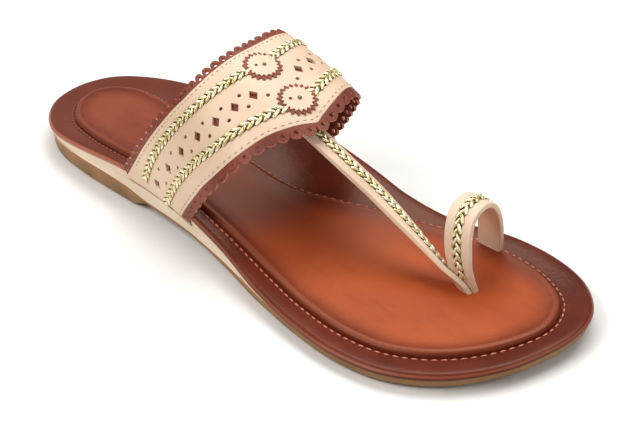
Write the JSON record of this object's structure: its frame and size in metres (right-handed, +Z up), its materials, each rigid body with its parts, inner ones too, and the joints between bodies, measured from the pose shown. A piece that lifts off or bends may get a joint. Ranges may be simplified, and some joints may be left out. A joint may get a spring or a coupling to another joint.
{
  "type": "kolhapuri sandal",
  "caption": "Flat toe-ring sandal: wide scalloped instep band with braids and rosettes, narrow T-strap and toe loop, on a padded leather footbed and rubber sole.",
  "frame": {"origin": "on the floor, under the middle of the bounding box", "axes": "+X to the toe, +Y to the big-toe side, +Z up"},
  "size_m": [0.2578, 0.086, 0.063],
  "materials": {
    "rubber": "matt gum rubber",
    "wedge": "matt beige cover",
    "rim_leather": "dark brown, half gloss",
    "pad_leather": "orange-brown, burnished",
    "beige_leather": "matt beige",
    "brown_leather": "matt red-brown"
  },
  "bodies": {
    "root": {"outsole": "rubber", "midsole": "wedge", "footbed": "rim_leather", "footbed_pad": "pad_leather", "upper": "beige_leather", "band_lining": "brown_leather"}
  },
  "joints": []
}
